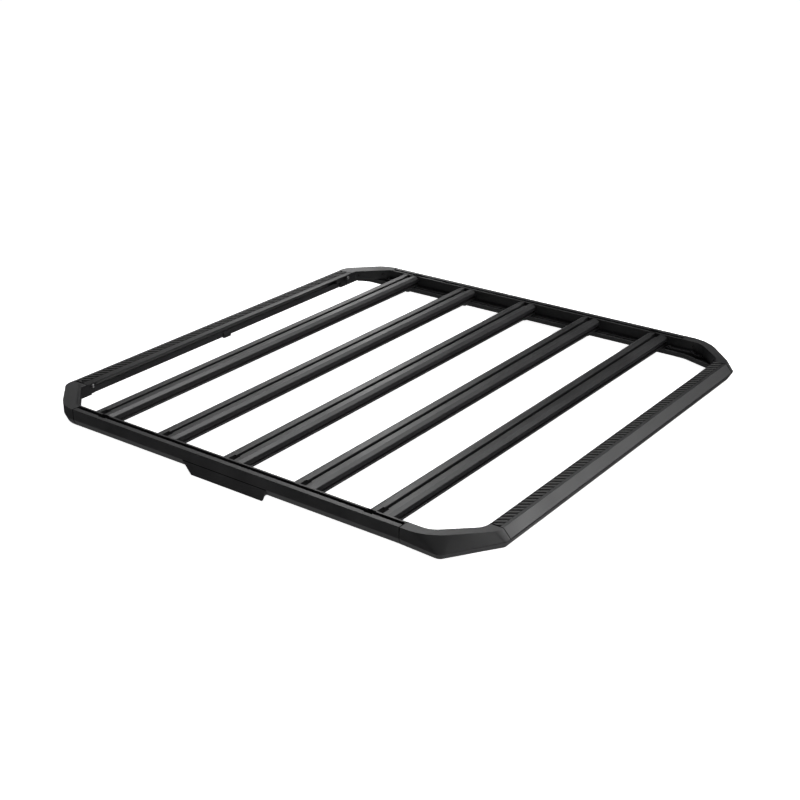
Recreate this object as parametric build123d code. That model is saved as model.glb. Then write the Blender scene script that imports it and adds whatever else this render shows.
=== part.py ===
import os
from math import atan2, cos, degrees, pi, sin, sqrt
from build123d import *

# Flat platform roof rack: five slotted bars across two side rails, two end rails and four cast corners.
# Millimetres. X runs along the side rails with the front at +X, Y runs along the bars, Z is up.
# The rack is drawn about the middle between its creases. At the end it moves back by half of the front slope, so that
# the origin lies under its middle, on the level of the side plates' lower edges.

# Whole rack
rack_width = 1250.0         # over the side rails' outer faces
crease_length = 1219.0      # between the creases where the end rails' tops turn down
rail_height = 40.0          # rails and corners, top to underside
wall = 2.2                  # extruded walls
edge_radius = 0.8           # rounding along the extrusions' outer edges
joint_gap = 0.4             # open seam between a corner and a rail
overcut = 1.0               # reach of a cut past the face that it opens

# Slots that take square-headed bolts
slot_width = 9.0
slot_lip = 2.8
chamber_width = 16.0
chamber_depth = 8.0
notch_width = 16.0          # drop-in opening, where a bolt head enters the slot
notch_length = 22.0

# Side rails
box_width = 27.0
slot_inset = 17.2           # from the outer face to the middle of the slot
side_bevel_drop = 26.0      # where the lower bevel starts
side_bevel_in = 5.0
ledge_width = 27.0          # ledge that carries the bars
ledge_height = 12.0
ledge_groove_width = 6.0
ledge_groove_depth = 4.0
ledge_groove_inset = 4.5    # from the ledge's inner edge
side_notch_inset = 85.0     # from the joint to the middle of the drop-in opening

# Crossbars
bar_count = 5
bar_width = 56.8
bar_flat_width = 38.8
bar_shoulder_drop = 4.5
bar_shoulder_radius = 2.0
bar_top_drop = 1.3          # below the side rails' top
bar_side_height = 9.5
bar_groove_height = 8.0
bar_groove_depth = 9.0
bar_foot_inset = 1.6
bar_end_gap = 0.2
bar_clearance = 4.9         # from the foot of an outer bar to the joining plates
bar_skin_thinning = 0.7     # the shoulders' walls are this much thinner than the flats'

# End rails
top_width = 30.5            # flat top, crease to inner lip
lip_drop = 9.0
lip_wall = 2.5
top_wall = 4.0
slope_run = 18.0
slope_drop = 19.4
slope_wall = 2.6
slope_groove_depth = 2.4    # shadow groove under the slope
slope_groove_height = 2.4
slope_lip_inset = 0.8       # lower edge of the groove, inside the slope's edge
foot_run = 6.4              # foot of the lower lip, outside the crease
sill_inset = 21.7           # inner lower wall, inside the crease
sill_height = 16.0
pinstripe_insets = (2.4, 5.0)   # two fine lines along the edge strip, from the crease
pinstripe_width = 0.9
pinstripe_depth = 0.6

# Grip strips
grip_inset = 7.7            # from the crease
grip_width = 21.4
grip_gap = 0.2
grip_pocket_depth = 1.6
grip_base = 1.4
grip_end_gap = 2.0
rib_height = 1.0
rib_width = 7.4             # along the rail
rib_pitch = 15.3
rib_slant = 15.8            # a rib's outer end is this much further along than its inner end

# Corners. Each line round a corner runs along the side, slants across and runs along the end. Its numbers are
# the lengths of the runs along the side and the end, from the joints with the rails, then its two bends' reaches.
front_leg = 163.5           # front corners, crease to the joint with the side rail
rear_leg = 126.5
end_leg = 116.25            # outer face to the joint with the end rail
corner_wall = 4.0
front_lines = {
    "crease": (63.5, 16.25, 48.0, 16.0), "waist": (96.5, 10.25, 12.0, 9.0), "foot": (93.0, 1.75, 8.0, 1.2),
    "inner_top": (54.5, 17.75, 20.0, 16.0), "inner_foot": (23.5, 23.25, 9.0, 6.0),
}
rear_lines = {
    "crease": (36.5, 26.25, 36.0, 15.0), "waist": (36.5, 26.25, 36.0, 15.0), "foot": (31.5, 21.25, 31.0, 13.0),
    "inner_top": (14.5, 12.25, 11.0, 11.0), "inner_foot": (64.5, 46.25, 9.0, 6.0),
}
least_reach = 0.5           # of a bend inside another
front_flare = 4.6           # a front corner's waist and foot swing out by this much at the side bend
front_waist_dip = 2.7       # and its waist comes down by this much there
groove_fade = 0.8           # share of a front corner's slant along which the shadow groove fades out
web_wall = 4.0              # inner wall of a corner, from its shelf up to its top
web_hole_radius = 2.5
web_hole_drop = 13.0        # below the top
front_slant_holes = (25.0,)         # along the slanting part of the inner wall, from its bend at the end rail
rear_slant_holes = (25.0, 96.0)
front_side_holes = (33.0,)          # along the side, from the joint with the side rail
rear_side_holes = ()
upstand_wall = 3.0          # wall along the inner edge of a corner's floor
shelf_width = 43.0          # shelf of a corner, level with the side rail's ledge, from the outer face
shelf_height = 4.0
tongue_face = 27.0          # inner face of the end tongue, inside the crease
tongue_length = 46.0
tongue_foot_length = 28.0
tongue_root = 14.0          # length of the end tongue inside the corner
seat_gap = 0.3

# Joining plates, screwed down across the joint of a corner and a side rail
joiner_height = 4.0
joiner_on_rail = 36.0
front_joiner_reach = 44.0   # on the corner
rear_joiner_reach = 14.0
joiner_clearance = 3.0      # from the corner's inner wall

# Side plates, hung from the side rails' lower bevels
plate_length = 241.0        # along the upper edge
plate_rear_slant = 24.0
plate_front_slant = 13.0
plate_corner_radius = 3.0
plate_shift = 2.0           # ahead of the middle bar
plate_drop = 16.0           # below the rails
plate_wall = 3.0
plate_hook = 16.0           # return under the rail
plate_shadow_gap = 0.8

# Clips under the middle of the end rails
clip_width = 26.0
clip_wall = 3.3
clip_rise = 13.0
clip_drop = 3.0

half_width = rack_width / 2
crease = crease_length / 2
top = plate_drop + rail_height
ledge_top = top - rail_height + ledge_height
side_start = rear_leg - crease
side_span = crease_length - front_leg - rear_leg
side_middle = side_start + side_span / 2
end_span = rack_width - 2 * end_leg
bar_reach = joiner_on_rail + bar_clearance + bar_width / 2 - bar_foot_inset
bar_pitch = (side_span - 2 * bar_reach) / (bar_count - 1)


def profile(points):
    return make_face(Polyline(*points, close=True))


def soften(section, radius, points):
    # Rounds the corners of a section that lie nearest to the given points.
    corners = [section.vertices().sort_by_distance((a, b, 0))[0] for a, b in points]
    return fillet(corners, radius)


def extrude_x(section, start, length):
    # The section's own x is across the rack and its own y is up.
    plane = Plane(origin=(start, 0, 0), x_dir=(0, 1, 0), z_dir=(1, 0, 0))
    return extrude(plane * section, length)


def extrude_y(section, start, length):
    # The section's own x is along the rack and its own y is up.
    plane = Plane(origin=(0, start, 0), x_dir=(1, 0, 0), z_dir=(0, -1, 0))
    return extrude(plane * section, -length)


def slot_section(middle, upper):
    neck = Pos(middle, upper - slot_lip / 2) * Rectangle(slot_width, slot_lip)
    chamber = Pos(middle, upper - slot_lip - chamber_depth / 2) * Rectangle(chamber_width, chamber_depth)
    return neck + chamber


def slot_mouth(middle, upper):
    return [(middle - slot_width / 2, upper), (middle + slot_width / 2, upper)]


def side_rail():
    outer = half_width
    box = outer - box_width
    ledge = box - ledge_width
    outer_edges = [
        (outer, top), (box, top), (ledge, ledge_top), (ledge, plate_drop), (outer - side_bevel_in, plate_drop),
        (outer, top - side_bevel_drop),
    ]
    outline = profile(outer_edges[:2] + [(box, ledge_top)] + outer_edges[2:])
    slot_middle = outer - slot_inset
    slot_floor = top - slot_lip - chamber_depth - wall
    slot_side = slot_middle + chamber_width / 2 + wall
    hollow = profile([
        (outer - wall, top - wall), (slot_side, top - wall), (slot_side, slot_floor), (box + wall, slot_floor),
        (box + wall, plate_drop + wall), (outer - side_bevel_in - wall, plate_drop + wall),
        (outer - wall, top - side_bevel_drop),
    ])
    groove_middle = ledge + ledge_groove_inset + ledge_groove_width / 2
    groove = Pos(groove_middle, ledge_top - ledge_groove_depth / 2) * Rectangle(
        ledge_groove_width, ledge_groove_depth)
    groove_wall = groove_middle + ledge_groove_width / 2 + wall
    ledge_hollow = profile([
        (box, ledge_top - wall), (groove_wall, ledge_top - wall), (groove_wall, plate_drop + wall),
        (box, plate_drop + wall),
    ])
    section = outline - slot_section(slot_middle, top) - hollow - ledge_hollow - groove
    section = soften(section, edge_radius, outer_edges + slot_mouth(slot_middle, top))
    rail = extrude_x(section, side_start + joint_gap, side_span - 2 * joint_gap)
    for side in (-1, 1):
        notch = Box(notch_length, notch_width, 2 * slot_lip)
        x = side_middle + side * (side_span / 2 - side_notch_inset)
        rail -= Pos(x, slot_middle, top) * notch
    return rail


def crossbar(x):
    upper = top - bar_top_drop
    half = bar_width / 2
    shoulder = upper - bar_shoulder_drop
    groove_top = shoulder - bar_side_height
    groove_floor = groove_top - bar_groove_height
    foot = half - bar_foot_inset
    neck = half - bar_groove_depth
    shoulders = [(bar_flat_width / 2, upper), (half, shoulder)]
    lip = [(half, groove_top)]
    groove = [(neck, groove_top), (neck, groove_floor)]
    feet = [(foot, groove_floor), (foot, ledge_top)]
    right = shoulders + lip + groove + feet
    outline = profile(right + [(-a, b) for a, b in reversed(right)])
    slot_floor = upper - slot_lip - chamber_depth
    core = profile([
        (neck - wall, slot_floor - wall), (neck - wall, ledge_top + wall), (wall - neck, ledge_top + wall),
        (wall - neck, slot_floor - wall),
    ])
    section = outline - slot_section(0, upper) - core
    for side in (-1, 1):
        inner = side * (chamber_width / 2 + wall)
        section -= profile([
            (inner, upper - wall), (side * (bar_flat_width / 2 - bar_skin_thinning), upper - wall),
            (side * (half - wall), shoulder - bar_skin_thinning), (side * (half - wall), groove_top + wall),
            (inner, groove_top + wall),
        ])
        section = soften(section, bar_shoulder_radius, [(side * a, b) for a, b in shoulders])
        section = soften(section, edge_radius, [(side * a, b) for a, b in lip + feet])
    section = soften(section, edge_radius, slot_mouth(0, upper))
    length = rack_width - 2 * (box_width + bar_end_gap)
    bar = extrude_y(section, -length / 2, length)
    for side in (-1, 1):
        notch = Box(notch_width, notch_length, 2 * slot_lip)
        bar -= Pos(0, side * (length - notch_length) / 2, upper) * notch
    return Pos(x, 0, 0) * bar


def end_rail(outside, inside, rounded):
    # Outside and inside are the outer wall's two faces, upwards and downwards. Rounded are its outer edges.
    lower = plate_drop
    inner = crease - top_width
    sill = crease - sill_inset
    lip = [(crease, top), (inner, top), (inner, top - lip_drop)]
    foot = [(sill, lower)]
    section = profile(lip + [(inner + lip_wall, top - lip_drop), (inner + lip_wall, top - top_wall)] + inside + [
        (sill + wall, lower + wall), (sill + wall, lower + sill_height), (sill, lower + sill_height),
    ] + foot + outside)
    section = soften(section, edge_radius, lip + foot + rounded)
    pocket_width = grip_width + 2 * grip_gap
    pocket_middle = crease - grip_inset - pocket_width / 2
    section -= Pos(pocket_middle, top) * Rectangle(pocket_width, 2 * grip_pocket_depth)
    for line in pinstripe_insets:
        section -= profile([
            (crease - line - pinstripe_width / 2, top), (crease - line, top - pinstripe_depth),
            (crease - line + pinstripe_width / 2, top),
        ])
    return extrude_y(section, joint_gap - end_span / 2, end_span - 2 * joint_gap)


def front_end_rail():
    # The outer wall slopes out from the crease, over a shadow groove, and leans back in to its foot.
    slope_foot = top - slope_drop
    groove_low = slope_foot - slope_groove_height
    groove_in = crease + slope_run - slope_groove_depth
    groove_back = groove_in - slope_wall
    foot = (crease + foot_run, plate_drop)
    lip = (crease + slope_run - slope_lip_inset, groove_low)
    slope_edge = (crease + slope_run, slope_foot)
    outside = [foot, lip, (groove_in, groove_low), (groove_in, slope_foot), slope_edge]
    inside = [
        (crease - wall, top - top_wall), (groove_back, slope_foot), (groove_back, groove_low),
        (crease + foot_run - wall, plate_drop + wall),
    ]
    return end_rail(outside, inside, [foot, lip, slope_edge])


def rear_end_rail():
    # The outer wall is upright, over the same bevel as the side rails'.
    bevel_top = top - side_bevel_drop
    outside = [(crease - side_bevel_in, plate_drop), (crease, bevel_top)]
    inside = [
        (crease - wall, top - top_wall), (crease - wall, bevel_top),
        (crease - side_bevel_in - wall, plate_drop + wall),
    ]
    return end_rail(outside, inside, outside)


def grip_strip():
    outer = crease - grip_inset - grip_gap
    inner = outer - grip_width
    length = end_span - 2 * grip_end_gap
    floor = top - grip_pocket_depth
    strip = Box(grip_width, length, grip_base, align=(Align.MIN, Align.CENTER, Align.MIN))
    strip = strip.moved(Pos(inner, 0, floor))
    rib_count = int((length - rib_slant - rib_width) / rib_pitch) + 1
    near = -(rib_slant + rib_width) / 2
    far = near + rib_slant
    rib = profile([(inner, near), (inner, near + rib_width), (outer, far + rib_width), (outer, far)])
    solid_rib = extrude(Pos(0, 0, floor + grip_base) * rib, rib_height)
    return strip + [Pos(0, (i - (rib_count - 1) / 2) * rib_pitch, 0) * solid_rib for i in range(rib_count)]


def bend(before, knee, after, reach):
    # Arc that rounds a knee, starting and ending at a given reach from it.
    a, k, b = Vector(*before), Vector(*knee), Vector(*after)
    start = k + (a - k).normalized() * reach
    finish = k + (b - k).normalized() * reach
    half_turn = (a - k).get_angle(b - k) * pi / 360
    bisector = ((a - k).normalized() + (b - k).normalized()).normalized()
    middle = k + bisector * reach * (1 - sin(half_turn)) / cos(half_turn)
    return start, middle, finish


def corner_line(leg, line, side, end, heights, flare=0.0):
    # Four points: past the joint with the side rail, two knees, past the joint with the end rail.
    side_run, end_run = line[:2]
    joint_x = crease - leg
    joint_y = half_width - end_leg
    return [
        Vector(joint_x - overcut, half_width - side, heights[0]),
        Vector(joint_x + side_run, half_width - side + flare, heights[1]),
        Vector(crease - end, joint_y + end_run, heights[2]), Vector(crease - end, joint_y - overcut, heights[2]),
    ]


def inset(points, reaches, depth):
    # Moves a corner line inwards by a depth, square to its three runs, with its bends about the same middles.
    runs = [Vector(b.X - a.X, b.Y - a.Y).normalized() for a, b in zip(points, points[1:])]
    squares = [Vector(run.Y, -run.X) for run in runs]
    moves = [Vector(0, depth / squares[0].Y)]
    bends = []
    for i in (0, 1):
        turn = runs[i].dot(runs[i + 1])
        moves.append((squares[i] + squares[i + 1]) * (depth / (1 + turn)))
        bends.append(max(reaches[i] - depth * sqrt((1 - turn) / (1 + turn)), least_reach))
    moves.append(Vector(depth / squares[2].X, 0))
    return [point + move for point, move in zip(points, moves)], bends


def corner_wire(points, reaches, chords):
    # Closed outline from a corner line to the middle of the rack. Chords cut the bends short.
    start, knee_a, knee_b, finish = points
    middle = Vector(start.X, finish.Y, (start.Z + finish.Z) / 2)
    a1, m1, b1 = bend(start, knee_a, knee_b, reaches[0])
    a2, m2, b2 = bend(knee_a, knee_b, finish, reaches[1])
    bends = [Line(a1, b1), Line(a2, b2)] if chords else [ThreePointArc(a1, m1, b1), ThreePointArc(a2, m2, b2)]
    return Wire([
        Line(start, a1), bends[0], Line(b1, a2), bends[1], Line(b2, finish), Line(finish, middle),
        Line(middle, start),
    ])


def corner(leg, lines, waist_end, foot_end, waist_drops, flare, slant_holes, side_holes):
    # Front left corner, or the rear left one before it is mirrored.
    base = plate_drop
    edges = {
        "crease": (0.0, 0.0), "waist": (0.0, waist_end), "foot": (side_bevel_in, foot_end),
        "inner_top": (box_width, top_width), "inner_foot": (box_width + ledge_width, tongue_face),
    }

    def wire(name, heights, depth=0.0, chords=False, swing=0.0):
        points = corner_line(leg, lines[name], *edges[name], heights, swing)
        return corner_wire(*inset(points, lines[name][2:], depth), chords)

    def shaft(name, low, high, depth=0.0):
        return extrude(make_face(wire(name, 3 * [low], depth)), high - low, dir=(0, 0, 1))

    def skin(depth, chords):
        return Solid.make_loft([
            wire("foot", 3 * [base + depth], depth, chords, flare),
            wire("waist", [top - drop for drop in waist_drops], depth, chords, flare),
            wire("crease", 3 * [top - depth], depth, chords),
        ], ruled=True)

    extent = Box(leg + slope_run, end_leg + flare, rail_height, align=(Align.MIN, Align.MIN, Align.MIN))
    full = skin(0.0, False) & extent.moved(Pos(crease - leg, half_width - end_leg, base))
    under_opening = shaft("inner_foot", base - overcut, ledge_top + overcut)
    shell = full - skin(corner_wall, True) - shaft("inner_top", ledge_top, top + overcut) - under_opening
    upstand = shaft("inner_foot", base, ledge_top, -upstand_wall) - under_opening
    web = shaft("inner_top", ledge_top, top, -web_wall) - shaft("inner_top", base, top + overcut)
    shell += full & upstand
    shell += full & web

    shelf = Box(leg, shelf_width, shelf_height, align=(Align.MIN, Align.MIN, Align.MAX))
    shell += full & shelf.moved(Pos(crease - leg, half_width - shelf_width, ledge_top))

    tongue_wall = tongue_face - sill_inset
    for length, low, high in (
        (tongue_foot_length, base, base + sill_height),
        (tongue_length, base + sill_height, top - lip_drop - seat_gap),
    ):
        tongue = Box(tongue_wall, length + tongue_root, high - low, align=(Align.MIN, Align.MIN, Align.MIN))
        shell += tongue.moved(Pos(crease - tongue_face, end_span / 2 - length, low))

    start, knee_a, knee_b, _ = corner_line(leg, lines["inner_top"], *edges["inner_top"], 3 * [0.0])
    slant = knee_a - knee_b
    holes = [(knee_b + slant.normalized() * reach, slant) for reach in slant_holes]
    holes += [(start + Vector(overcut + reach, 0), Vector(1, 0)) for reach in side_holes]
    for place, along in holes:
        drill = Cylinder(web_hole_radius, 3 * web_wall, rotation=(90, 0, 0))
        turn = Rot(0, 0, degrees(atan2(along.Y, along.X)))
        shell -= Pos(place.X, place.Y, top - web_hole_drop) * turn * drill
    return shell


def slant_groove(waist_drops):
    # Carries the front rail's shadow groove round the end of a front corner and lets it fade out along the slant.
    heights = [top - drop for drop in waist_drops]
    _, knee_a, knee_b, finish = corner_line(front_leg, front_lines["waist"], 0.0, -slope_run, heights, front_flare)
    fade = knee_b + (knee_a - knee_b) * groove_fade
    out = Vector(overcut, 0)
    into = Vector(-slope_groove_depth, 0)
    sections = []
    for point, share in ((finish, 1.0), (knee_b, 1.0), (fade, 0.1)):
        low = point - Vector(0, 0, slope_groove_height * share)
        sections.append(Wire(Polyline(point + into * share, point + out, low + out, low + into * share, close=True)))
    return Solid.make_loft(sections, ruled=True)


def joining_plate(leg, reach):
    width = shelf_width - box_width - joiner_clearance
    length = joiner_on_rail + reach
    plate = Box(length, width, joiner_height, align=(Align.MIN, Align.MIN, Align.MIN))
    return plate.moved(Pos(crease - leg - joiner_on_rail, half_width - shelf_width, ledge_top))


def side_plate():
    outer = half_width
    upper = top - side_bevel_drop - plate_shadow_gap
    bevel_foot = outer - side_bevel_in
    bevel_start = outer - side_bevel_in * plate_shadow_gap / (rail_height - side_bevel_drop)
    section = profile([
        (outer, upper), (bevel_start, upper), (bevel_foot, plate_drop), (bevel_foot - plate_hook, plate_drop),
        (bevel_foot - plate_hook, plate_drop - plate_wall), (outer - plate_wall, plate_drop - plate_wall),
        (outer - plate_wall, 0), (outer, 0),
    ])
    rear = side_middle + plate_shift - plate_length / 2
    front = rear + plate_length
    lower_corners = [(front - plate_front_slant, 0), (rear + plate_rear_slant, 0)]
    face = profile([(rear, upper), (front, upper)] + lower_corners)
    face = soften(face, plate_corner_radius, lower_corners)
    depth = side_bevel_in + plate_hook
    return extrude_x(section, rear, plate_length) & extrude_y(face, outer - depth, depth)


def centre_clip():
    face = crease - sill_inset
    section = profile([
        (face, plate_drop + clip_rise), (face, plate_drop), (face + clip_wall, plate_drop),
        (face + clip_wall, plate_drop - clip_drop), (face - clip_wall, plate_drop - clip_drop),
        (face - clip_wall, plate_drop + clip_rise - clip_wall),
    ])
    return extrude_y(section, -clip_width / 2, clip_width)


nodes = {}
left_rail = side_rail()
nodes["side_rail_left"] = left_rail
nodes["side_rail_right"] = mirror(left_rail, about=Plane.XZ)
for i in range(bar_count):
    x = side_start + bar_reach + i * bar_pitch
    nodes[f"crossbar_{i + 1}"] = crossbar(x)
nodes["end_rail_front"] = front_end_rail()
nodes["end_rail_rear"] = mirror(rear_end_rail(), about=Plane.YZ)
front_grip = grip_strip()
nodes["grip_strip_front"] = front_grip
nodes["grip_strip_rear"] = front_grip.rotate(Axis.Z, 180)
front_waist_drops = (side_bevel_drop, side_bevel_drop + front_waist_dip, slope_drop)
front_corner = corner(
    front_leg, front_lines, -slope_run, -foot_run, front_waist_drops, front_flare, front_slant_holes,
    front_side_holes)
front_corner -= slant_groove(front_waist_drops)
rear_corner = mirror(corner(
    rear_leg, rear_lines, 0.0, side_bevel_in, 3 * [side_bevel_drop], 0.0, rear_slant_holes, rear_side_holes,
), about=Plane.YZ)
nodes["corner_front_left"] = front_corner
nodes["corner_front_right"] = mirror(front_corner, about=Plane.XZ)
nodes["corner_rear_left"] = rear_corner
nodes["corner_rear_right"] = mirror(rear_corner, about=Plane.XZ)
front_joiner = joining_plate(front_leg, front_joiner_reach)
rear_joiner = mirror(joining_plate(rear_leg, rear_joiner_reach), about=Plane.YZ)
nodes["joining_plate_front_left"] = front_joiner
nodes["joining_plate_front_right"] = mirror(front_joiner, about=Plane.XZ)
nodes["joining_plate_rear_left"] = rear_joiner
nodes["joining_plate_rear_right"] = mirror(rear_joiner, about=Plane.XZ)
left_plate = side_plate()
nodes["side_plate_left"] = left_plate
nodes["side_plate_right"] = mirror(left_plate, about=Plane.XZ)
front_clip = centre_clip()
nodes["centre_clip_front"] = front_clip
nodes["centre_clip_rear"] = mirror(front_clip, about=Plane.YZ)

os.makedirs("parts", exist_ok=True)
for name, shape in nodes.items():
    export_step(Pos(-slope_run / 2, 0, 0) * shape, f"parts/{name}.step")
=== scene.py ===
import math
import bmesh
import bpy
from mathutils import Matrix, Vector


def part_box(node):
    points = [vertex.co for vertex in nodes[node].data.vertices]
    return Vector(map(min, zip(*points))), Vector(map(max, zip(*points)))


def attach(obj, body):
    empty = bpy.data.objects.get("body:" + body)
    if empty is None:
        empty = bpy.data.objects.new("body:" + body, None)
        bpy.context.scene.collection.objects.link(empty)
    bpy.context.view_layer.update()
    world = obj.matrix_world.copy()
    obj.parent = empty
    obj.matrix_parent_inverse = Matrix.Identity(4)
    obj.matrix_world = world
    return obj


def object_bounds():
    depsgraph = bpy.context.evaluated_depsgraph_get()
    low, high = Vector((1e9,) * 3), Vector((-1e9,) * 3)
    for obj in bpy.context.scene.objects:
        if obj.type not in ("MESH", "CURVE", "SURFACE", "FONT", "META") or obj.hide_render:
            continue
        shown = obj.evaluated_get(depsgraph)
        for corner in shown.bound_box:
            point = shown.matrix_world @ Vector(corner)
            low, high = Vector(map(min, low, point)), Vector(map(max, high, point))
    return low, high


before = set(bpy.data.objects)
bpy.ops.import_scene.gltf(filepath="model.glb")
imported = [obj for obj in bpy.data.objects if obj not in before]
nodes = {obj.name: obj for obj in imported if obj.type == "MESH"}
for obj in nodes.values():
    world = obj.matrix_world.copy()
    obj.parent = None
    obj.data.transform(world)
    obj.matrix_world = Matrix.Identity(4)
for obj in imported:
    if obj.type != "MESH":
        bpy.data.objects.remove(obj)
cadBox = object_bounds()
scene = bpy.context.scene
mm = 0.001
print("frame loaded:", len(nodes), "nodes")


# Materials

noiseRange = (0.3, 0.7)  # most of a noise lies between these


def linear(hexColour):
    channels = [int(hexColour[i:i + 2], 16) / 255 for i in (1, 3, 5)]
    return [c / 12.92 if c <= 0.04045 else ((c + 0.055) / 1.055) ** 2.4 for c in channels] + [1.0]


def addNode(tree, kind, settings=None, **links):
    # One node: settings are properties, sockets or colour stops, and links name sockets and what feeds them.
    node = tree.nodes.new(kind)
    for name, value in (settings or {}).items():
        if name == "stops":
            ramp = node.color_ramp.elements
            for i, (position, colour) in enumerate(value):
                stop = ramp[i] if i < len(ramp) else ramp.new(position)
                stop.position = position
                stop.color = colour
        elif hasattr(node, name):
            setattr(node, name, value)
        else:
            node.inputs[name].default_value = value
    for name, source in links.items():
        tree.links.new(source, node.inputs[name.replace("_", " ")])
    return node


def grain(tree, spot, pattern):
    # A noise whose features have a real size, in metres, drawn out along an axis where the pattern says so.
    scale = [1 / (pattern["size"] * s) for s in pattern.get("stretch", (1, 1, 1))]
    sized = addNode(tree, "ShaderNodeMapping", {"Scale": scale}, Vector=spot).outputs["Vector"]
    settings = {"Scale": 1.0, "Detail": pattern.get("detail", 2.0)}
    return addNode(tree, "ShaderNodeTexNoise", settings, Vector=sized).outputs["Fac"]


def newFinish(name, finish):
    # The mottle moves the colour and the gloss a little, and each texture is a bump of a real size and depth.
    material = bpy.data.materials.new(name)
    material.use_nodes = True
    tree = material.node_tree
    shader = tree.nodes["Principled BSDF"]
    for socket, value in finish["fixed"].items():
        shader.inputs[socket].default_value = value
    spot = addNode(tree, "ShaderNodeTexCoord").outputs["Object"]
    stops = [(position, linear(colour)) for position, colour in zip(noiseRange, finish["colours"])]
    colour = addNode(tree, "ShaderNodeValToRGB", {"stops": stops}, Fac=grain(tree, spot, finish["mottle"]))
    tree.links.new(colour.outputs["Color"], shader.inputs["Base Color"])
    if "gloss" in finish:
        limits = dict(zip(("From Min", "From Max", "To Min", "To Max"), noiseRange + finish["gloss"]))
        worn = grain(tree, spot, finish.get("glossMottle", finish["mottle"]))
        rough = addNode(tree, "ShaderNodeMapRange", limits, Value=worn)
        tree.links.new(rough.outputs["Result"], shader.inputs["Roughness"])
    normal = None
    for texture in finish["textures"]:
        settings = {"Distance": texture["depth"], "Strength": texture["strength"]}
        bump = addNode(tree, "ShaderNodeBump", settings, Height=grain(tree, spot, texture))
        if normal:
            tree.links.new(normal, bump.inputs["Normal"])
        normal = bump.outputs["Normal"]
    if normal:
        tree.links.new(normal, shader.inputs["Normal"])
    return material


# Satin black powder coat on aluminium: a soft sheen, faint clouds of gloss and a fine orange peel.
orangePeel = {"size": 1.6 * mm, "depth": 0.06 * mm, "strength": 0.25}
powderCoat = {"fixed": {"IOR": 1.5}, "mottle": {"size": 90 * mm}, "colours": ("#19191a", "#1f1f20"),
              "gloss": (0.34, 0.42), "textures": [orangePeel]}
plateCoat = newFinish("satinBlackPlate", powderCoat)

# The same coat on castings, where it lies thicker: a coarser peel and a little less gloss.
castPeel = dict(orangePeel, size=2.2 * mm)
castCoat = newFinish("satinBlackCasting", dict(powderCoat, gloss=(0.36, 0.44), textures=[castPeel]))

# The same coat on extrusions: the die's lines show through, drawn coarser than real ones so that they show.
dieLines = {"size": 1.1 * mm, "detail": 1.0, "depth": 0.03 * mm, "strength": 0.2}
barLines = dict(dieLines, stretch=(1, 400, 1))
railLines = dict(dieLines, stretch=(400, 1, 1))
barCoat = newFinish("satinBlackBar", dict(powderCoat, textures=[orangePeel, barLines]))
railCoat = newFinish("satinBlackRail", dict(powderCoat, textures=[orangePeel, railLines]))

# Matt black rubber, moulded: a wide dull sheen with a fine grain on the ribs, and painted shade down between
# them.
gripRubber = {"fixed": {"IOR": 1.5}, "mottle": {"size": 14 * mm, "detail": 4.0},
              "colours": ("#1b1b1b", "#262626"), "gloss": (0.5, 0.62),
              "textures": [{"size": 0.5 * mm, "depth": 0.08 * mm, "strength": 0.4}],
              "groove": "#0e0e0e", "grooveDrop": 0.9 * mm, "ribDrop": 0.2 * mm, "sheen": (0.1, 0.6)}


def paintGrooveShade(material, finish, top):
    # Painted shade: below the ribs' tops the rubber turns to a near-black shade colour and loses its sheen,
    # as the grooves would in shade.
    tree = material.node_tree
    shader = tree.nodes["Principled BSDF"]
    ribColour = shader.inputs["Base Color"].links[0].from_socket
    spot = addNode(tree, "ShaderNodeTexCoord").outputs["Object"]
    height = addNode(tree, "ShaderNodeSeparateXYZ", Vector=spot).outputs["Z"]
    levels = {"From Min": top - finish["grooveDrop"], "From Max": top - finish["ribDrop"]}
    share = addNode(tree, "ShaderNodeMapRange", levels, Value=height).outputs["Result"]
    colour = addNode(tree, "ShaderNodeMix", {"data_type": "RGBA"}, Factor=share)
    colour.inputs[6].default_value = linear(finish["groove"])  # inputs 6 and 7 and output 2 are the colours
    tree.links.new(ribColour, colour.inputs[7])
    tree.links.new(colour.outputs[2], shader.inputs["Base Color"])
    dull, shiny = finish["sheen"]
    sheen = addNode(tree, "ShaderNodeMapRange", {"To Min": dull, "To Max": shiny}, Value=share)
    tree.links.new(sheen.outputs["Result"], shader.inputs["Specular IOR Level"])


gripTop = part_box("grip_strip_rear")[1].z
rubber = newFinish("gripRubber", gripRubber)
# Painted shade in the grip's grooves: darker colour and less sheen below the ribs' tops.
paintGrooveShade(rubber, gripRubber, gripTop)

# Black nylon, moulded: slightly glossy with a spark-eroded grain.
mouldedNylon = {"fixed": {"IOR": 1.53}, "mottle": {"size": 9 * mm}, "colours": ("#141415", "#191919"),
                "gloss": (0.42, 0.5), "glossMottle": {"size": 4 * mm},
                "textures": [{"size": 0.4 * mm, "depth": 0.05 * mm, "strength": 0.4}]}
nylon = newFinish("mouldedNylon", mouldedNylon)

# Painted shade: near-black with no sheen, only a fine grain, laid over the seams so that each reads as the
# dark line of shade in its gap.
seamShadeBlack = {"fixed": {"Roughness": 0.9, "Specular IOR Level": 0.05}, "mottle": {"size": 2 * mm},
             "colours": ("#050505", "#080808"),
             "textures": [{"size": 0.4 * mm, "depth": 0.05 * mm, "strength": 0.3}]}
paintedSeamShade = newFinish("paintedSeamShade", seamShadeBlack)

# Steel, plated with dark zinc or blackened with oxide: small sharp glints with dull smears.
platedSteel = {"fixed": {"Metallic": 1.0}, "mottle": {"size": 3 * mm, "detail": 3.0},
               "colours": ("#6a6a6b", "#868686"), "gloss": (0.24, 0.38),
               "textures": [{"size": 0.25 * mm, "depth": 0.02 * mm, "strength": 0.3}]}
zinc = newFinish("darkZincSteel", platedSteel)
blackSteel = newFinish("blackOxideSteel", dict(platedSteel, colours=("#1d1d1e", "#2b2b2c"), gloss=(0.4, 0.5)))

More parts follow.
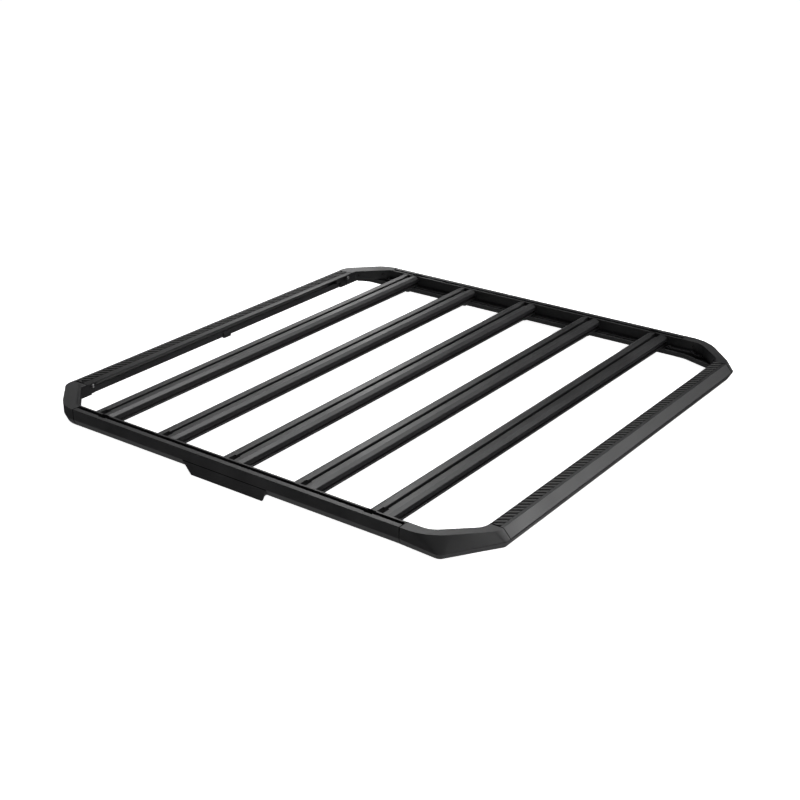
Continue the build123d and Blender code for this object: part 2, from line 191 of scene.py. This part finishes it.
finishes = {"crossbar": barCoat, "end_rail": barCoat, "side_rail": railCoat, "corner": castCoat,
            "joining_plate": plateCoat, "side_plate": plateCoat, "grip_strip": rubber, "centre_clip": nylon}
for name, node in nodes.items():
    finish = next(material for start, material in finishes.items() if name.startswith(start))
    node.data.materials.clear()
    node.data.materials.append(finish)
print("materials on CAD nodes:", len(bpy.data.materials))


# Pieces that the looks add

sharpTurn = 0.6  # radians between faces from which an edge stays sharp


def toMesh(name, bm):
    for face in bm.faces:
        face.smooth = True
    for edge in bm.edges:
        edge.smooth = edge.calc_face_angle(0) < sharpTurn
    mesh = bpy.data.meshes.new(name)
    bm.to_mesh(mesh)
    bm.free()
    return mesh


def addPiece(name, bm, material):
    mesh = toMesh(name, bm)
    mesh.materials.append(material)
    piece = bpy.data.objects.new(name, mesh)
    scene.collection.objects.link(piece)
    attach(piece, "root")
    return piece


def facing(spot, axis):
    # Puts a thing at a spot with its own z along an axis.
    return Matrix.Translation(spot) @ axis.to_track_quat("Z", "Y").to_matrix().to_4x4()


def prism(bm, outline, rise, edge=0.0):
    # Solid from an outline, counter-clockwise about the rise, to its copy there, whose rim can be rounded.
    lower = [bm.verts.new(p) for p in outline]
    upper = [bm.verts.new(p + rise) for p in outline]
    bm.faces.new(list(reversed(lower)))
    roof = bm.faces.new(upper)
    for i in range(len(outline)):
        j = (i + 1) % len(outline)
        bm.faces.new((lower[i], lower[j], upper[j], upper[i]))
    if edge:
        bmesh.ops.bevel(bm, geom=list(roof.edges), offset=edge, segments=3, profile=0.5, affect="EDGES")


def slab(bm, plan, low, high, edge=0.0):
    prism(bm, [Vector((p[0], p[1], low)) for p in plan], Vector((0, 0, high - low)), edge)


# Rear rim: the plain strip inside the rear grip, which the CAD rail lacks, and its run round the rear corners

def bentLine(points, reaches, steps=6):
    # Rounds a line's inner points off; a reach is how far from its point a bend starts.
    line = [points[0]]
    for i, reach in enumerate(reaches, 1):
        knee = points[i]
        start, finish = (knee + (p - knee).normalized() * reach for p in (points[i - 1], points[i + 1]))
        for k in range(steps + 1):
            t = k / steps
            line.append(start * (1 - t) ** 2 + knee * 2 * t * (1 - t) + finish * t ** 2)
    return line + [points[-1]]


def setBack(line, depth):
    # The same line, moved to its left by a wall's thickness.
    moved = []
    for i, point in enumerate(line):
        along = (line[min(i + 1, len(line) - 1)] - line[max(i - 1, 0)]).normalized()
        moved.append(point + Vector((-along.y, along.x)) * depth)
    return moved


def drill(piece, spots, radius, depth):
    # Bores round holes through a piece and works its shading out again.
    bm = bmesh.new()
    for spot, axis in spots:
        bmesh.ops.create_cone(bm, cap_ends=True, segments=20, radius1=radius, radius2=radius, depth=depth,
                              matrix=facing(spot, axis))
    drills = bpy.data.objects.new("drills", toMesh("drills", bm))
    scene.collection.objects.link(drills)
    bores = piece.modifiers.new("bores", "BOOLEAN")
    bores.object = drills
    bored = piece.evaluated_get(bpy.context.evaluated_depsgraph_get())
    bm = bmesh.new()
    bm.from_mesh(bored.to_mesh())
    material = piece.data.materials[0]
    piece.modifiers.clear()
    piece.data = toMesh(piece.name, bm)
    piece.data.materials.append(material)
    bpy.data.objects.remove(drills)


# Reach is from the rear rail's outer face to the strip's inner edge. Points are in mm, inwards from that edge
# and sideways from the rail's end.
rim = {"reach": 45.5 * mm, "width": 16.1 * mm, "thick": 3 * mm, "edge": 0.9 * mm, "lift": 0.03 * mm,
       "line": [(0, 0.8), (0, 19.6), (73, 89.6), (80.6, 89.6)], "bends": (5.5 * mm, 7 * mm),
       "cover": [(80.6, 92.6), (65.3, 92.6), (-16.1, 13.9), (-16.1, 0.8)], "cornerThick": 4 * mm,
       "wall": 4 * mm, "wallFoot": 29 * mm, "ear": 22.4 * mm,
       "holes": (8.2 * mm, 80.2 * mm), "holeDrop": 12 * mm, "holeRadius": 2.5 * mm}
railLow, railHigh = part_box("end_rail_rear")
rimTop = railHigh.z + rim["lift"]
rimInside = railLow.x + rim["reach"]
stripStart = rimInside - rim["width"]
strip = bmesh.new()
stripPlan = [(stripStart, railLow.y), (rimInside, railLow.y),
             (rimInside, railHigh.y), (stripStart, railHigh.y)]
slab(strip, stripPlan, rimTop - rim["thick"], rimTop, rim["edge"])
addPiece("rearInnerStrip", strip, barCoat)
tops = bmesh.new()
walls = bmesh.new()
holes = []
for side in (-1, 1):
    knees, cover = ([Vector((rimInside + x * mm, side * (railHigh.y + y * mm))) for x, y in rim[name]]
                    for name in ("line", "cover"))
    inner = bentLine(knees, rim["bends"])
    ear = [inner[0] - Vector((0, side * rim["ear"]))] + inner[1:]
    wall = ear + setBack(ear, side * rim["wall"])[::-1]
    slab(tops, (inner + cover)[::side], rimTop - rim["cornerThick"], rimTop, rim["edge"])
    slab(walls, wall[::side], rim["wallFoot"], rimTop - rim["thick"])
    slant = (knees[2] - knees[1]).normalized()
    for along in rim["holes"]:
        spot = knees[1] + slant * along
        holes.append((Vector((spot.x, spot.y, railHigh.z - rim["holeDrop"])), Vector((-slant.y, slant.x, 0))))
addPiece("rearCornerTops", tops, castCoat)
cornerWalls = addPiece("rearCornerWalls", walls, castCoat)
drill(cornerWalls, holes, rim["holeRadius"], 3 * rim["wall"])
print("rear rim added")


# Painted seam shade: near-black strips laid over the seams between corners, rails and plates and at the
# grips' ends, for the shade down in the gaps; and the cut-off ribs at the grips' ends

# Outlines are in mm, outwards from the side rail's face or an end rail's crease, and up from the rails' top.
seamShade = {"width": 2.2 * mm, "gap": 0.4 * mm, "frontCrease": 30.5 * mm,
        "side": [(-26.7, 0.06), (0.06, 0.06), (0.06, -26), (-4.95, -40.05), (-5.7, -39.6), (-0.6, -25.9),
                 (-0.6, -0.6), (-26.7, -0.6)],
        "plate": [(-0.6, -27.6), (0.06, -27.6), (0.06, -25.8), (-0.6, -25.8)], "plateEnd": 1 * mm,
        "front": [(-30.4, 0.06), (0.05, 0.06), (18.08, -19.4), (17.2, -19.4), (-0.4, -0.6), (-30.4, -0.6)],
        "rear": [(-0.2, -0.6), (-0.2, 0.06), (-rim["reach"] / mm, 0.06), (-rim["reach"] / mm, -0.6)],
        "stop": [(-7.8, -1), (-7.8, 0.06), (-29.2, 0.06), (-29.2, -1)], "stopLength": 1.6 * mm}
# A rib in mm: across from the grip's edge and along from its end. The other end has it turned half round.
gripRib = {"outline": [(0, -13.45), (18.1, -0.05), (8.1, -0.05), (0, -6.05)], "height": 1 * mm}
seamShades = bmesh.new()
ribs = bmesh.new()
sideLow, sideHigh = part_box("side_rail_left")
plateLow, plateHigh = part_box("side_plate_left")


def sideSeamShade(outline, start, length):
    for side in (-1, 1):
        points = [Vector((start, side * (sideHigh.y + y * mm), sideHigh.z + z * mm)) for y, z in outline]
        prism(seamShades, points, Vector((length, 0, 0)))


def endSeamShade(outline, crease, out, start, length):
    points = [Vector((crease + out * x * mm, start, railHigh.z + z * mm)) for x, z in outline]
    prism(seamShades, points, Vector((0, length, 0)))


# Painted shade over the seams at both ends of each side rail, and a painted shadow line along the side
# plate's top edge.
for seam in (sideLow.x - seamShade["gap"], sideHigh.x + seamShade["gap"]):
    sideSeamShade(seamShade["side"], seam - seamShade["width"] / 2, seamShade["width"])
sideSeamShade(seamShade["plate"], plateLow.x + seamShade["plateEnd"], plateHigh.x - plateLow.x - 2 * seamShade["plateEnd"])
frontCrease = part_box("end_rail_front")[0].x + seamShade["frontCrease"]
# Painted shade over the end rails' seams and at the grips' ends.
for name, crease, out in (("front", frontCrease, 1), ("rear", railLow.x, -1)):
    gripLow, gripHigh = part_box("grip_strip_" + name)
    for side in (-1, 1):
        seam = side * (railHigh.y + seamShade["gap"])
        endSeamShade(seamShade[name], crease, out, seam - seamShade["width"] / 2, seamShade["width"])
        endSeamShade(seamShade["stop"], crease, out, side * railHigh.y, -side * seamShade["stopLength"])
        across = out * side
        gripEdge = gripLow.x if across > 0 else gripHigh.x
        plan = [(gripEdge + across * x * mm, side * (gripHigh.y + y * mm)) for x, y in gripRib["outline"]]
        slab(ribs, plan, gripTop - gripRib["height"], gripTop)
# The seam strips are painted shade; the ribs are real rubber ribs.
for name, bm, material in (("jointSeals", seamShades, paintedSeamShade), ("gripEndRibs", ribs, rubber)):
    bmesh.ops.recalc_face_normals(bm, faces=bm.faces)
    addPiece(name, bm, material)
print("seals added")


# Fasteners

def turnedHead(bm, spot, axis, rings, points=24):
    # Skins rings of (radius, height, sides) about an axis. No sides is a circle, and six sides are a hexagon.
    turn = facing(spot, axis)
    loops = []
    for radius, height, sides in rings:
        loop = []
        for i in range(points):
            angle = math.tau * i / points
            reach = radius
            if sides:
                half = math.pi / sides
                reach = radius * math.cos(half) / math.cos(angle % (2 * half) - half)
            point = Vector((reach * math.cos(angle), reach * math.sin(angle), height))
            loop.append(bm.verts.new(turn @ point))
        loops.append(loop)
    for low, high in zip(loops, loops[1:]):
        for i in range(points):
            j = (i + 1) % points
            bm.faces.new((low[i], low[j], high[j], high[i]))
    bm.faces.new(list(reversed(loops[0])))
    bm.faces.new(loops[-1])


def fasteners(name, places, rings, material):
    # One mesh for all fasteners of a kind, each at a spot with the way its head faces.
    bm = bmesh.new()
    for spot, axis in places:
        turnedHead(bm, spot, axis, [(radius * mm, height * mm, sides) for radius, height, sides in rings])
    addPiece(name, bm, material)


# Rings are in mm.
screw = {"inset": 9 * mm, "tongueAlong": 10.3 * mm, "tongueRise": 17.4 * mm, "tongueIn": 3.5 * mm,
         "earIn": 17 * mm, "earDrop": 9 * mm,
         "rings": [(5.2, -0.5, 0), (5.2, 0.9, 0), (4.7, 2.0, 0), (3.8, 2.8, 0), (2.8, 3.2, 0), (2.4, 3.2, 6),
                   (2.4, 1.3, 6)]}
bolt = {"ledgeIn": 13.5 * mm, "plateIn": 12 * mm, "plateAlong": 62 * mm, "plateWall": 3 * mm,
        "rings": [(8.4, -0.5, 0), (8.4, 1.5, 0), (7.4, 1.6, 0), (7.2, 1.6, 6), (7.2, 5.9, 6), (6.3, 6.6, 0)]}
up, down = Vector((0, 0, 1)), Vector((0, 0, -1))
ahead, back = Vector((1, 0, 0)), Vector((-1, 0, 0))
railFoot = sideLow.z
joinerScrews = []
tongueScrews = []
hexBolts = []
for name in nodes:
    low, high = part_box(name)
    centre = (low + high) / 2
    side = math.copysign(1, centre.y)
    if name.startswith("joining_plate"):
        for x in (low.x + screw["inset"], high.x - screw["inset"]):
            joinerScrews.append((Vector((x, centre.y, high.z)), up))
    if name.startswith("corner_front"):
        across = low.y + screw["tongueAlong"] if side > 0 else high.y - screw["tongueAlong"]
        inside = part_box("end_rail_front")[0].x + screw["tongueIn"]
        tongueScrews.append((Vector((inside, across, railFoot + screw["tongueRise"])), back))
    if name.startswith("corner_rear"):
        across = side * (railHigh.y - screw["earIn"])
        tongueScrews.append((Vector((rimInside, across, railHigh.z - screw["earDrop"])), ahead))
    if name.startswith("crossbar"):
        ledge = sideLow.y + bolt["ledgeIn"]
        hexBolts += [(Vector((centre.x, y, railFoot)), down) for y in (-ledge, ledge)]
    if name.startswith("side_plate"):
        across = high.y - bolt["plateIn"] if side > 0 else low.y + bolt["plateIn"]
        for x in (centre.x - bolt["plateAlong"], centre.x + bolt["plateAlong"]):
            hexBolts.append((Vector((x, across, railFoot - bolt["plateWall"])), down))
fasteners("joinerScrews", joinerScrews, screw["rings"], blackSteel)
fasteners("tongueScrews", tongueScrews, screw["rings"], zinc)
fasteners("hexBolts", hexBolts, bolt["rings"], zinc)
print("fasteners:", len(joinerScrews) + len(tongueScrews) + len(hexBolts))


# Floor and backdrop

# White studio paint, lit through so that no shadow or horizon shows, with a faint mottle.
palePaint = {"fixed": {"Roughness": 0.9, "Specular IOR Level": 0.1, "Emission Color": (1, 1, 1, 1),
                       "Emission Strength": 0.95},
             "mottle": {"size": 400 * mm}, "colours": ("#f4f4f4", "#f7f7f7"), "textures": []}
surround = {"floorHalf": 30, "wallRadius": 28, "wallHeight": 40}  # in metres


def addStage(name, bm, material):
    mesh = bpy.data.meshes.new(name)
    bm.to_mesh(mesh)
    bm.free()
    mesh.materials.append(material)
    piece = bpy.data.objects.new(name, mesh)
    scene.collection.objects.link(piece)
    piece.visible_glossy = False  # the coat mirrors the studio's panels, not the paint
    return piece


paint = newFinish("palePaint", palePaint)
bm = bmesh.new()
bmesh.ops.create_grid(bm, x_segments=1, y_segments=1, size=surround["floorHalf"])
floor = addStage("floor", bm, paint)
floor.location.z = cadBox[0][2]
bm = bmesh.new()
bmesh.ops.create_cone(bm, cap_ends=False, segments=64, radius1=surround["wallRadius"],
                      radius2=surround["wallRadius"], depth=surround["wallHeight"])
backdrop = addStage("backdrop", bm, paint)
backdrop.visible_diffuse = False
backdrop.visible_shadow = False
print("floor and backdrop added")


# Light and camera

# Levels are brightness by height, from straight down (-1) to straight up (1).
# Panels are azimuth and elevation in degrees, size in metres and watts. Azimuth 0 is behind the rack, seen
# from -Y, and positive to the right.
studio = {"aim": Vector((0.081, -0.14, 0.056)), "distance": 4.0,
          "levels": [(-0.98, 0.32), (-0.64, 0.32), (-0.6, 0.012), (-0.32, 0.012), (-0.28, 0.21), (0.13, 0.21),
                     (0.17, 0.043), (0.98, 0.055)],
          "panels": {"stripPanel": (-38.5, 25, (0.45, 1.2), 7.9),
                     "leftPanel": (-56, 23, (1.2, 1.2), 2.7),
                     "leftLowPanel": (-45, 14, (1.0, 0.5), 2.9),
                     "upperPanel": (-5, 58, (4.0, 1.6), 94),
                     "slopePanel": (29, 20, (1.2, 1.2), 2.5),
                     "rightPanel": (46, 33, (1.4, 1.6), 27.6),
                     "nearPanel": (47, 24, (1.0, 1.0), 10),
                     "slantPanel": (80, 30, (1.2, 1.2), 20),
                     "sidePanel": (120, 24, (1.2, 1.2), 14),
                     "frontPanel": (146, 30, (2.0, 1.2), 12)}}


def softbox(name, azimuth, elevation, size, watts):
    light = bpy.data.lights.new(name, "AREA")
    light.shape = "RECTANGLE"
    light.size, light.size_y = size
    light.energy = watts
    panel = bpy.data.objects.new(name, light)
    scene.collection.objects.link(panel)
    a, e = math.radians(azimuth), math.radians(elevation)
    away = Vector((math.sin(a) * math.cos(e), math.cos(a) * math.cos(e), math.sin(e)))
    panel.matrix_world = facing(studio["aim"] + away * studio["distance"], away)


def studioWorld(levels):
    # Grey studio all round, for the coat to mirror.
    world = bpy.data.worlds.new("studio")
    scene.world = world
    world.use_nodes = True
    tree = world.node_tree
    spot = addNode(tree, "ShaderNodeTexCoord").outputs["Generated"]
    height = addNode(tree, "ShaderNodeSeparateXYZ", Vector=spot).outputs["Z"]
    share = addNode(tree, "ShaderNodeMapRange", {"From Min": -1.0, "From Max": 1.0}, Value=height)
    stops = [((position + 1) / 2, (level, level, level, 1)) for position, level in levels]
    ramp = addNode(tree, "ShaderNodeValToRGB", {"stops": stops}, Fac=share.outputs["Result"])
    tree.links.new(ramp.outputs["Color"], tree.nodes["Background"].inputs["Color"])


studioWorld(studio["levels"])
for name, panel in studio["panels"].items():
    softbox(name, *panel)

view = {"place": Vector((1.8321, -2.5105, 1.3693)), "target": Vector((0.0812, -0.1396, 0.056)),
        "lens": 62.55, "sensor": 36, "roll": math.radians(-0.114)}
camera = bpy.data.objects.new("camera", bpy.data.cameras.new("camera"))
scene.collection.objects.link(camera)
camera.data.lens = view["lens"]
camera.data.sensor_width = view["sensor"]
camera.matrix_world = (Matrix.Translation(view["place"])
                       @ (view["target"] - view["place"]).to_track_quat("-Z", "Y").to_matrix().to_4x4()
                       @ Matrix.Rotation(view["roll"], 4, "Z"))
scene.camera = camera
scene.view_settings.view_transform = "Standard"
print("camera and lights set")
